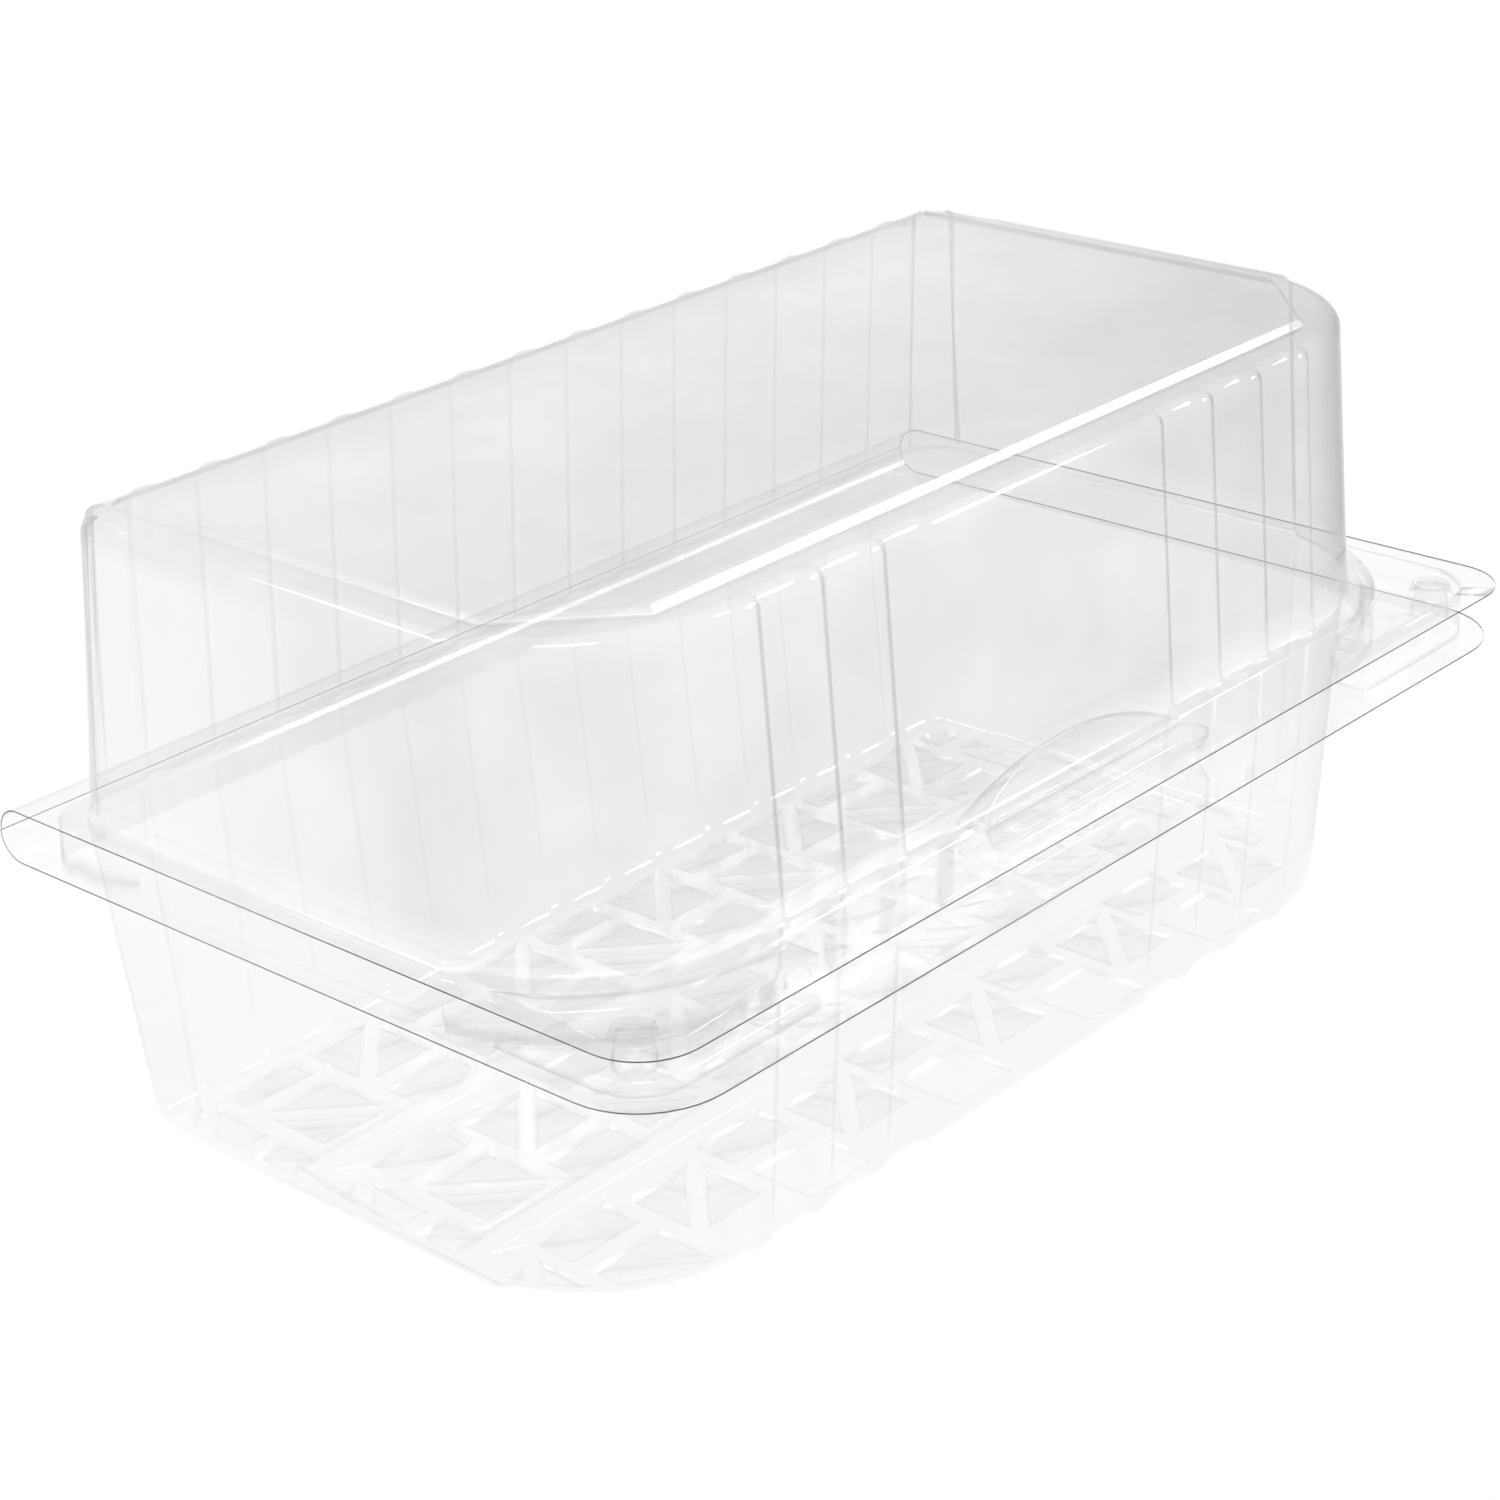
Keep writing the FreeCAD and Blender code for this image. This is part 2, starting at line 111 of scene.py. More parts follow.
class FoodBoxTub(PropertyGroup):
    front_radius: length_prop("Front radius", "Front corner radius at the floor", 0.0313)
    back: length_prop("Back", "Back wall at the floor", 0.0556)
    back_radius: length_prop("Back radius", "Radius of the corners beside the hinge", 0.0048)
    draft: FloatProperty(
        name="Draft", description="Slope of the wall", subtype="ANGLE", default=math.radians(4.24))
    edge: length_prop("Floor edge", "Radius from the floor to the wall", 0.0026)
    flange: length_prop("Flange height", "Underside of the flange", 0.0493)
    flange_corner: length_prop("Flange corner", "Radius of the flange's front corners", 0.0148)
    ridge_width: length_prop("Ridge width", "Width of the rim ridge", 0.0026)
    ridge_flare: length_prop("Ridge flare", "Slope of the ridge's outer side", 0.0005)
    platform: length_prop("Step height", "Height of the steps on the flange", 0.0026)
    floor: length_prop("Floor", "Height of the floor over its feet", 0.0008)
    foot: length_prop("Foot", "Side of a square foot", 0.0155)
    foot_pitch_x: length_prop("Foot pitch along", "Distance from foot to foot", 0.0186)
    foot_pitch_y: length_prop("Foot pitch across", "Distance from foot to foot", 0.0192)
    foot_start: length_prop("Foot start", "Middle row of the even columns", 0.0059)
    foot_draw: length_prop("Foot slope", "Width of a foot's sloping side", 0.0006)
    bar: length_prop("Bar", "Width of the bar across a foot", 0.0022)
    groove_front: length_prop("Front groove", "Middle of the front floor groove", -0.0184)
    groove_back: length_prop("Back groove", "Middle of the back floor groove", 0.0201)
    groove_foot: length_prop("Groove foot", "Width of a groove at the floor", 0.005)
    groove_draw: length_prop("Groove slope", "Width of a groove's sloping side", 0.0012)
    groove_height: length_prop("Groove height", "How far a groove stands up", 0.002)
    groove_reach: length_prop("Groove reach", "End of the grooves, from the middle", 0.101)
    gap: length_prop("Gap", "Foot to groove and foot to floor edge", 0.0012)


class FoodBoxLid(PropertyGroup):
    front_radius: length_prop("Front radius", "Front corner radius at the top", 0.0334)
    back: length_prop("Back", "Back wall at the top", 0.0564)
    back_radius: length_prop("Back radius", "Radius of the corners beside the hinge", 0.0074)
    draft: FloatProperty(
        name="Draft", description="Slope of the wall", subtype="ANGLE", default=math.radians(3.3))
    edge: length_prop("Top edge", "Radius from the top to the wall", 0.0025)
    root: length_prop("Wall foot", "Radius from the wall to the flange", 0.0015)
    flange: length_prop("Flange height", "Underside of the flange", 0.0585)
    flange_corner: length_prop("Flange corner", "Radius of the flange's front corners", 0.0105)
    panel_inset: length_prop("Panel inset", "Top edge to the raised panel", 0.0066)
    panel_back: length_prop("Panel back inset", "Top edge to the raised panel, at the back", 0.0037)
    panel_chamfer: length_prop("Panel chamfer", "Cut corners of the raised panel", 0.0178)
    panel_rise: length_prop("Panel rise", "How far the panel is raised", 0.0012)
    panel_draw: length_prop("Panel slope", "Width of the panel's sloping side", 0.001)
    recess: length_prop("Recess", "Depth of the lock and corner recesses", 0.0029)
    recess_draw: length_prop("Recess slope", "Slope of the lock recess's sides", 0.0012)
    button: length_prop("Button", "Height of a button", 0.0024)
    button_draw: length_prop("Button slope", "Slope of a button's side", 0.0008)
    ramp_half: length_prop("Ramp half length", "Half the length of the arched ramp", 0.027)
    ramp_height: length_prop("Ramp height", "Height of the arched ramp", 0.0058)
    ramp_front: length_prop("Ramp front", "Front line of the arched ramp", -0.0602)
    ramp_run: length_prop("Ramp run", "How far the ramp leans back", 0.0044)


class FoodBoxStage(PropertyGroup):
    floor_tint: FloatVectorProperty(
        name="Floor", description="Colour of the floor", subtype="COLOR", size=3, min=0, max=1,
        default=(0.2, 0.2, 0.2))
    lens: FloatProperty(name="Lens", description="Focal length in millimetres", default=83.4)
    key: FloatProperty(name="Key lamp", description="Power of the key lamp in watts", default=18.0)
    fill: FloatProperty(name="Fill lamp", description="Power of the fill lamp in watts", default=10.0)
    over: FloatProperty(name="Top lamp", description="Power of the lamp overhead in watts", default=8.0)


# ---------------------------------------------------------------- drawing outlines
class Pencil:
    """Draws an outline in a flat mesh: a line extrudes its last point and an arc spins it."""

    def __init__(self, bm, x, y, z):
        self.bm = bm
        self.before = set(bm.edges)
        self.first = self.tip = bm.verts.new((x, y, z))

    def line(self, x, y):
        made = bmesh.ops.extrude_vert_indiv(self.bm, verts=[self.tip])
        self.tip = made["verts"][0]
        self.tip.co.xy = x, y
        return self

    def arc(self, x, y, degrees, steps):
        made = bmesh.ops.spin(
            self.bm, geom=[self.tip], cent=(x, y, self.tip.co.z), axis=(0, 0, 1),
            angle=math.radians(degrees), steps=steps)
        self.tip = only(made["geom_last"], bmesh.types.BMVert)[0]
        return self

    def edges(self):
        return [e for e in self.bm.edges if e not in self.before]

    def closed(self):
        self.bm.edges.new((self.tip, self.first))
        return self.edges()


def only(geom, kind):
    return [g for g in geom if isinstance(g, kind)]


def corners_of(edges):
    return list({v for e in edges for v in e.verts})


def moved(bm, verts, x=0.0, y=0.0, z=0.0):
    bmesh.ops.translate(bm, verts=verts, vec=(x, y, z))


def stretched(bm, verts, x, y, centre):
    bmesh.ops.scale(bm, verts=verts, vec=(x, y, 1), space=Matrix.Translation((-centre[0], -centre[1], 0)))


def filled(bm, edges):
    """Flat sheet between closed outlines, with the inner ones left open."""
    made = bmesh.ops.triangle_fill(bm, use_beauty=True, use_dissolve=False, edges=edges, normal=(0, 0, 1))
    return only(made["geom"], bmesh.types.BMFace)


def capped(bm, edges):
    """One flat face inside a closed outline."""
    made = bmesh.ops.contextual_create(bm, geom=edges)
    return made["faces"][0]


def pressed(bm, face, draw, height):
    """Presses a flat face up (or down) with sloping sides, and gives back the moved face."""
    up = face.normal.z if face.normal.z else 1.0
    bmesh.ops.inset_region(
        bm, faces=[face], thickness=draw, depth=height * math.copysign(1, up), use_even_offset=True)
    return face


# ---------------------------------------------------------------- the ribbed wall
class Ring:
    """One closed line round the wall, extruded fold by fold."""

    def __init__(self, bm, edges, shape, radius, back, back_radius):
        self.bm = bm
        self.edges = edges
        self.shape = shape
        self.radius = radius
        self.back = back
        self.back_radius = back_radius

    def places(self, verts):
        """The ring's points by place: front, corners, ends and back."""
        near = 1e-6
        cx, cy = self.shape.corner_x, self.shape.corner_y
        inner = cx + self.radius - self.back_radius
        groups = {"front": [], "left": [], "right": [], "back": [], "back_left": [], "back_right": [],
                  "end_left": [], "end_right": []}
        for v in verts:
            x, y = abs(v.co.x), v.co.y
            side = "left" if v.co.x < 0 else "right"
            if y < cy and x <= cx + near:
                groups["front"].append(v)
            elif y < cy:
                groups[side].append(v)
            elif y > self.back - self.back_radius + near and x > inner + near:
                groups["back_" + side].append(v)
            elif y > self.back - self.back_radius + near:
                groups["back"].append(v)
            else:
                groups["end_" + side].append(v)
        return groups

    def step(self, up, out, turn=0.0):
        """Next ring: up and out. turn is the part of out that changes the back corners' radius."""
        made = bmesh.ops.extrude_edge_only(self.bm, edges=self.edges)["geom"]
        edges = only(made, bmesh.types.BMEdge)
        verts = only(made, bmesh.types.BMVert)
        bm = self.bm
        moved(bm, verts, z=up)
        groups = self.places(verts)
        moved(bm, groups["front"], y=-out)
        moved(bm, groups["back"], y=out)
        grown = (self.radius + out) / self.radius
        rounded = (self.back_radius + turn) / self.back_radius
        for side, sign in (("left", -1), ("right", 1)):
            centre = (sign * self.shape.corner_x, self.shape.corner_y)
            stretched(bm, groups[side], grown, grown, centre)
            moved(bm, groups["end_" + side], x=sign * out)
            inner = self.shape.corner_x + self.radius - self.back_radius
            corner = (sign * inner, self.back - self.back_radius)
            stretched(bm, groups["back_" + side], rounded, rounded, corner)
            moved(bm, groups["back_" + side], x=sign * (out - turn), y=out - turn)
        return Ring(bm, edges, self.shape, self.radius + out, self.back + out, self.back_radius + turn)

    def plain(self, up, radius, back, back_radius):
        """Next ring, without ribs: laid on a plain outline of the given sizes."""
        made = bmesh.ops.extrude_edge_only(self.bm, edges=self.edges)["geom"]
        edges = only(made, bmesh.types.BMEdge)
        verts = only(made, bmesh.types.BMVert)
        bm = self.bm
        moved(bm, verts, z=up)
        groups = self.places(verts)
        cx, cy = self.shape.corner_x, self.shape.corner_y
        stretched(bm, groups["front"], 1, 0, (0, cy))
        moved(bm, groups["front"], y=-radius)
        stretched(bm, groups["back"], 1, 0, (0, back))
        for side, sign in (("left", -1), ("right", 1)):
            laid_round(groups[side], (sign * cx, cy), radius)
            end = sign * (cx + radius)
            stretched(bm, groups["end_" + side], 0, 1, (end, 0))
            corner = (end - sign * back_radius, back - back_radius)
            laid_round(groups["back_" + side], corner, back_radius)
        return Ring(bm, edges, self.shape, radius, back, back_radius)


def laid_round(verts, centre, radius):
    for v in verts:
        arm = Vector((v.co.x - centre[0], v.co.y - centre[1]))
        arm.normalize()
        v.co.xy = Vector(centre) + arm * radius


def wall_ring(bm, shape, sheet, radius, back, back_radius, z):
    """Draws the ribbed outline of a wall."""
    top, flank, depth = shape.rib_top / 2, shape.rib_flank, shape.rib_depth
    front = shape.corner_y - radius
    end = shape.corner_x + radius
    panel = 2 * shape.rib_pitch + top
    pencil = Pencil(bm, 0, front - depth, z)
    pencil.line(panel, front - depth).line(panel + flank, front)
    for place in (3, 4, 5):
        middle = place * shape.rib_pitch
        pencil.line(middle - top - flank, front).line(middle - top, front - depth)
        pencil.line(middle + top, front - depth).line(middle + top + flank, front)
    foot = shape.end_panel_front - flank
    turn = math.degrees(math.asin((shape.corner_y - foot) / radius))
    pencil.line(shape.corner_x, front)
    pencil.arc(shape.corner_x, shape.corner_y, 90 - turn, sheet.corner_steps)
    pencil.line(end + shape.end_panel_depth, shape.end_panel_front)
    pencil.line(end + shape.end_panel_depth, shape.end_panel_back)
    pencil.line(end, shape.end_panel_back + flank).line(end, back - back_radius)
    pencil.arc(end - back_radius, back - back_radius, 90, 8)
    for place in range(6, -1, -1):
        middle = (place + 0.5) * shape.rib_pitch
        pencil.line(middle + top + flank, back).line(middle + top, back + depth)
        pencil.line(middle - top, back + depth).line(middle - top - flank, back)
    pencil.line(0, back)
    folds = [v for v in corners_of(pencil.edges())
             if len(v.link_edges) == 2 and v.calc_edge_angle() > math.radians(12)]
    bmesh.ops.bevel(
        bm, geom=folds, offset=sheet.rib_round, segments=2, affect="VERTICES", profile=0.5, material=-1)
    half = pencil.edges()
    bmesh.ops.mirror(bm, geom=half + corners_of(half), matrix=Matrix.Identity(4), merge_dist=1e-6, axis="X")
    return Ring(bm, pencil.edges(), shape, radius, back, back_radius)


def quarter(radius, steps):
    """(inward, onward) shares of a quarter round, step by step."""
    angles = [math.pi / 2 * n / steps for n in range(steps + 1)]
    places = [(radius * (1 - math.cos(a)), radius * math.sin(a)) for a in angles]
    return [(b[0] - a[0], b[1] - a[1]) for a, b in zip(places, places[1:])]


# ---------------------------------------------------------------- flange outlines
def flange_outline(bm, r, z, back):
    half, front = TUB_HIGH.x, TUB_LOW.y
    pencil = Pencil(bm, half, back, z)
    pencil.line(-half, back)
    hinge_edge = pencil.edges()[0]
    pencil.line(-half, front + r).arc(r - half, front + r, 90, 10)
    pencil.line(half - r, front).arc(half - r, front + r, 90, 10)
    return pencil.closed(), hinge_edge


def rolled(bm, edge, down):
    """Rolls the flange's back edge round the hinge line, a quarter turn less the slit."""
    middle = (LID_HIGH.y - HINGE_RADIUS, HINGE_HEIGHT)
    turn = math.radians(-89.4 if down else 89.4)
    bmesh.ops.spin(
        bm, geom=[edge] + list(edge.verts), cent=(0, middle[0], middle[1]), axis=(1, 0, 0),
        angle=turn, steps=8)


def lock_outline(bm, shape, cut, z):
    half, r = shape.lock_half - cut, shape.lock_corner - cut
    front, back = shape.pad_front + cut, shape.lock_back - cut
    pencil = Pencil(bm, r - half, front, z)
    pencil.line(half - r, front).arc(half - r, front + r, 90, 5)
    pencil.line(half, back - r).arc(half - r, back - r, 90, 5)
    pencil.line(r - half, back).arc(r - half, back - r, 90, 5)
    pencil.line(-half, front + r).arc(r - half, front + r, 85, 5)
    return pencil.closed()


def corner_outline(bm, shape, cut, z, side):
    """Corner pad: two straight sides, a round corner and an arc round the box's own corner."""
    ring, r = shape.pad_ring + cut, shape.pad_corner - cut
    end, front, start = shape.pad_end - cut, shape.pad_front + cut, shape.pad_start + cut
    high = math.acos((end - shape.corner_x) / ring)
    low = math.acos((start - shape.corner_x) / ring)
    pencil = Pencil(bm, start, front, z)
    pencil.line(end - r, front).arc(end - r, front + r, 90, 10)
    pencil.line(end, shape.corner_y - ring * math.sin(high))
    pencil.arc(shape.corner_x, shape.corner_y, math.degrees(high - low), 16)
    edges = pencil.closed()
    if side < 0:
        stretched(bm, corners_of(edges), -1, 1, (0, 0))
    return edges


def with_button(bm, shape, face, side, radius, draw, height):
    """Opens a flat face for a round stud and presses the stud up from it."""
    z = face.verts[0].co.z
    rim = list(face.edges)
    bmesh.ops.delete(bm, geom=[face], context="FACES_ONLY")
    pencil = Pencil(bm, side * shape.button_x + radius, shape.button_y, z)
    pencil.arc(side * shape.button_x, shape.button_y, 345, 23)
    circle = pencil.closed()
    filled(bm, rim + circle)
    stud = capped(bm, circle)
    stud.normal_update()
    pressed(bm, stud, draw, height)


# ---------------------------------------------------------------- sheets
WHOLE_PANEL = 1.6e-4   # m2; a face above this is a flat panel, shaded flat


def finished_sheet(bm, name, sheet, outward, small_fold):
    """Rounds the folds of a formed surface, turns it outward and gives it its thickness."""
    bmesh.ops.remove_doubles(bm, verts=bm.verts, dist=1e-6)
    bmesh.ops.recalc_face_normals(bm, faces=bm.faces)
    bm.faces.ensure_lookup_table()
    if outward(bm) < 0:
        bmesh.ops.reverse_faces(bm, faces=bm.faces)
    bmesh.ops.dissolve_limit(
        bm, angle_limit=math.radians(0.2), use_dissolve_boundaries=False,
        verts=bm.verts, edges=bm.edges, delimit={"NORMAL"})
    folds = [e for e in bm.edges if len(e.link_faces) == 2 and e.calc_face_angle() > math.radians(28)]
    for small in (False, True):
        rounded = [e for e in folds if e.is_valid and small_fold(e) == small]
        bmesh.ops.bevel(
            bm, geom=rounded, offset=sheet.fold * (0.6 if small else 1), segments=2 if small else 3,
            affect="EDGES", profile=0.5, material=-1, clamp_overlap=True)
    mesh = bpy.data.meshes.new(name)
    bm.to_mesh(mesh)
    bm.free()
    mesh.set_sharp_from_angle(angle=math.radians(24))
    for face in mesh.polygons:
        face.use_smooth = face.area < WHOLE_PANEL
    piece = bpy.data.objects.new(name, mesh)
    bpy.context.scene.collection.objects.link(piece)
    wall = piece.modifiers.new("sheet", "SOLIDIFY")
    wall.thickness = sheet.thickness
    wall.offset = -1
    wall.use_quality_normals = True
    wall.material_offset_rim = 1
    piece.data.materials.append(clear_sheet(sheet))
    piece.data.materials.append(cut_edge(sheet))
    return piece


# ---------------------------------------------------------------- finishes
class Wired:
    """A node's output that Python sums work on: each operator adds its Math node."""

    def __init__(self, finish, socket):
        self.finish = finish
        self.socket = socket

    def _sum(self, operation, *values):
        return self.finish.node("Math", {"operation": operation}, dict(enumerate(values)))

    def __add__(self, other):
        return self._sum("ADD", self, other)

    def __sub__(self, other):
        return self._sum("SUBTRACT", self, other)

    def __rsub__(self, other):
        return self._sum("SUBTRACT", other, self)

    def __mul__(self, other):
        return self._sum("MULTIPLY", self, other)

    def __pow__(self, other):
        return self._sum("POWER", self, other)

    __radd__ = __add__
    __rmul__ = __mul__


class Finish:
    """A material, or the world, while it is being wired."""

    def __init__(self, owner):
        owner.use_nodes = True
        self.tree = owner.node_tree
        self.tree.nodes.clear()

    def node(self, kind, settings, sockets, output=0):
        node = self.tree.nodes.new("ShaderNode" + kind)
        for name, value in settings.items():
            setattr(node, name, value)
        for name, value in sockets.items():
            if isinstance(value, Wired):
                self.tree.links.new(value.socket, node.inputs[name])
            else:
                node.inputs[name].default_value = value
        return Wired(self, node.outputs[output]) if node.outputs else node


def colour(value):
    return (*value, 1.0)


def clear_sheet(sheet):
    """Clear formed plastic: it darkens where it is looked at along, and shines like glass."""
    name = "clear_formed_sheet"
    if name in bpy.data.materials:
        return bpy.data.materials[name]
    material = bpy.data.materials.new(name)
    f = Finish(material)
    place = f.node("TexCoord", {}, {}, "Object")
    ripple = f.node("TexNoise", {}, {"Vector": place, "Scale": 30.0, "Detail": 1.0, "Roughness": 0.4})
    mist = f.node("TexNoise", {}, {"Vector": place, "Scale": 40.0, "Detail": 2.0, "Roughness": 0.6})
    wave = f.node("Bump", {}, {"Strength": 0.12, "Distance": 0.0006, "Height": ripple})
    along = f.node("LayerWeight", {}, {"Blend": 0.5, "Normal": wave}, "Facing")
    length = f.node("SeparateXYZ", {}, {0: place}, "X")
    depth = f.node("SeparateXYZ", {}, {0: place}, "Y")
    height = f.node("SeparateXYZ", {}, {0: place}, "Z")
    lid = f.node("MapRange", {}, {"Value": height, "From Min": 0.058, "From Max": 0.066})
    top = f.node("MapRange", {}, {"Value": height, "From Min": 0.104, "From Max": 0.108})
    front = f.node("MapRange", {}, {"Value": depth, "From Min": 0.03, "From Max": -0.02})
    # Painted light: the dark lines along folds fade out near the floor, where pale light from the floor fills
    # them. On the lid they are drawn stronger on the front wall than at the back.
    wall = 1.0 - 0.9 * f.node("MapRange", {}, {"Value": height, "From Min": 0.012, "From Max": 0.004})
    # Painted shade: the sheet's haze is raised on the lid, most on its front wall and top panel, and grows
    # towards the right end. This stands in for the darker surroundings that the real walls reflect.
    painted_shade_by_place = (0.7 + lid * (0.1 + 1.9 * front * (1.0 - top) + 1.4 * top)) * (1.0 + length)
    lines = wall * (0.4 - 0.28 * lid + 1.3 * lid * front)
    hidden = painted_shade_by_place * sheet.haze * (0.4 + 1.2 * mist) + lines * sheet.edge_haze * along ** 6.0
    # Painted light: the folds of the tub and flange take the pale low tint, as if filled with light from below.
    # The lid's folds take the dark edge tint.
    fold = f.node("Mix", {"data_type": "RGBA"}, {
        0: lid, 6: colour(sheet.low_tint), 7: colour(sheet.edge_tint)}, 2)
    tint = f.node("Mix", {"data_type": "RGBA"}, {
        0: along ** 1.5, 6: colour(sheet.clear_tint), 7: fold}, 2)
    body = f.node("BsdfPrincipled", {}, {
        "Base Color": tint, "Roughness": 0.14 + 0.12 * mist, "IOR": 1.46, "Alpha": hidden, "Normal": wave})
    # Painted reflection tone: the mirror-like shine is full white on the tub and flange and dimmed to grey on
    # the lid. Where it is looked at along, the lid also takes more of this shine, which keeps it darker.
    gleam = f.node("Mix", {"data_type": "RGBA"}, {0: lid, 6: (1, 1, 1, 1), 7: (0.85, 0.85, 0.85, 1)}, 2)
    shine = f.node("BsdfPrincipled", {}, {
        "Base Color": gleam, "Metallic": 1.0, "Roughness": 0.05 + 0.06 * mist, "Normal": wave})
    mirrored = 0.05 + (0.35 + 0.5 * lid) * along ** 5.0
    both = f.node("MixShader", {}, {0: mirrored, 1: body, 2: shine})
    shade = f.node("BsdfTransparent", {}, {"Color": (0.97, 0.97, 0.97, 1)})
    cast = f.node("LightPath", {}, {}, "Is Shadow Ray")
    f.node("OutputMaterial", {}, {"Surface": f.node("MixShader", {}, {0: cast, 1: both, 2: shade})})
    return material


def cut_edge(sheet):
    """Sheared edge of the sheet, where light that runs inside it comes out dark."""
    name = "cut_edge"
    if name in bpy.data.materials:
        return bpy.data.materials[name]
    material = bpy.data.materials.new(name)
    f = Finish(material)
    place = f.node("TexCoord", {}, {}, "Object")
    nicks = f.node("TexNoise", {}, {"Vector": place, "Scale": 220.0, "Detail": 2.0, "Roughness": 0.6})
    long_marks = f.node("TexNoise", {}, {"Vector": place, "Scale": 14.0, "Detail": 1.0, "Roughness": 0.5})
    tint = f.node("Mix", {"data_type": "RGBA"}, {
        0: nicks, 6: colour(sheet.edge_tint), 7: (0.02, 0.05, 0.035, 1)}, 2)
    edge = f.node("BsdfPrincipled", {}, {
        "Base Color": tint, "Roughness": 0.25 + 0.2 * nicks, "IOR": 1.46, "Alpha": 0.35 + 0.9 * long_marks})
    f.node("OutputMaterial", {}, {"Surface": edge})
    return material


def white_floor(stage):
    """Pale floor that shows white and still takes the object's shadow."""
    material = bpy.data.materials.new("white_floor")
    f = Finish(material)
    shown = seen_directly(f)
    card = f.node("BsdfDiffuse", {}, {"Color": colour(stage.floor_tint)})
    glow = f.node("Emission", {}, {"Color": (1, 1, 1, 1), "Strength": 0.84 * shown})
    both = f.node("AddShader", {}, {0: card, 1: glow})
    f.node("OutputMaterial", {}, {"Surface": both})
    return material


def seen_directly(f):
    camera = f.node("LightPath", {}, {}, "Is Camera Ray")
    glossy = f.node("LightPath", {}, {}, "Is Glossy Ray")
    through = f.node("LightPath", {}, {}, "Is Transmission Ray")
    return f.node("Math", {"operation": "MAXIMUM"}, {
        0: camera, 1: f.node("Math", {"operation": "MAXIMUM"}, {0: glossy, 1: through})})



# ---------------------------------------------------------------- pieces
class FOODBOX_OT_tub(Operator):
    """Forms the tub: floor with feet and grooves, ribbed wall, rim ridge, flange and half the hinge"""

    bl_idname = "foodbox.tub"
    bl_label = "Form the tub"

    def execute(self, context):
        scene = context.scene
        sheet, shape, tub, lid = scene.foodbox_sheet, scene.foodbox_shape, scene.foodbox_tub, scene.foodbox_lid
        slope = math.tan(tub.draft)
        t = sheet.thickness
        bm = bmesh.new()
        feet(bm, shape, tub, slope)
        trims = [e for e in bm.edges if e.is_boundary]
        base = tub.floor + tub.edge
        start = wall_ring(bm, shape, sheet, tub.front_radius + base * slope, tub.back + base * slope,
                          tub.back_radius, base)
        ring = start
        for inward, down in quarter(tub.edge, 5):
            ring = ring.step(-down, -inward, -inward)
        channels = grooves(bm, tub)
        filled(bm, ring.edges + trims + channels)
        ridge_top = lid.flange - 0.0003
        ring = start.step(ridge_top - t - base, (ridge_top - t - base) * slope)
        spread = shape.rib_depth + tub.ridge_width - t
        radius = tub.front_radius + ridge_top * slope + spread
        back = tub.back + ridge_top * slope + spread
        ring = ring.plain(0, radius, back, tub.back_radius + spread * 0.5)
        flare = tub.ridge_flare
        ring = ring.step(tub.flange - ridge_top + t, flare, flare)
        outline, hinge_edge = flange_outline(bm, tub.flange_corner, tub.flange, LID_HIGH.y - HINGE_RADIUS)
        holes = lock_outline(bm, shape, t, tub.flange)
        step_face = capped(bm, holes)
        step_face.normal_update()
        corners = []
        for side in (-1, 1):
            edges = corner_outline(bm, shape, t, tub.flange, side)
            holes = holes + edges
            corners.append((side, capped(bm, edges)))
        filled(bm, ring.edges + outline + holes)
        pressed(bm, step_face, 0.001, tub.platform)
        radius = shape.button_radius - 2 * t - 0.0003
        height = lid.flange - lid.recess + lid.button - 0.0003 - t - (tub.flange + tub.platform)
        for side, face in corners:
            face.normal_update()
            pressed(bm, face, 0.0001, tub.platform)
            with_button(bm, shape, face, side, radius, lid.button_draw, height)
        rolled(bm, hinge_edge, False)

        def outward(bm):
            lowest = min(bm.faces, key=lambda face: face.calc_center_median().z)
            return -lowest.normal.z

        piece = finished_sheet(bm, "tub_sheet", sheet, outward,
                               lambda e: max(v.co.z for v in e.verts) < tub.floor * 1.5)
        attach(piece, "base")
        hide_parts("base_tub")
        return {"FINISHED"}


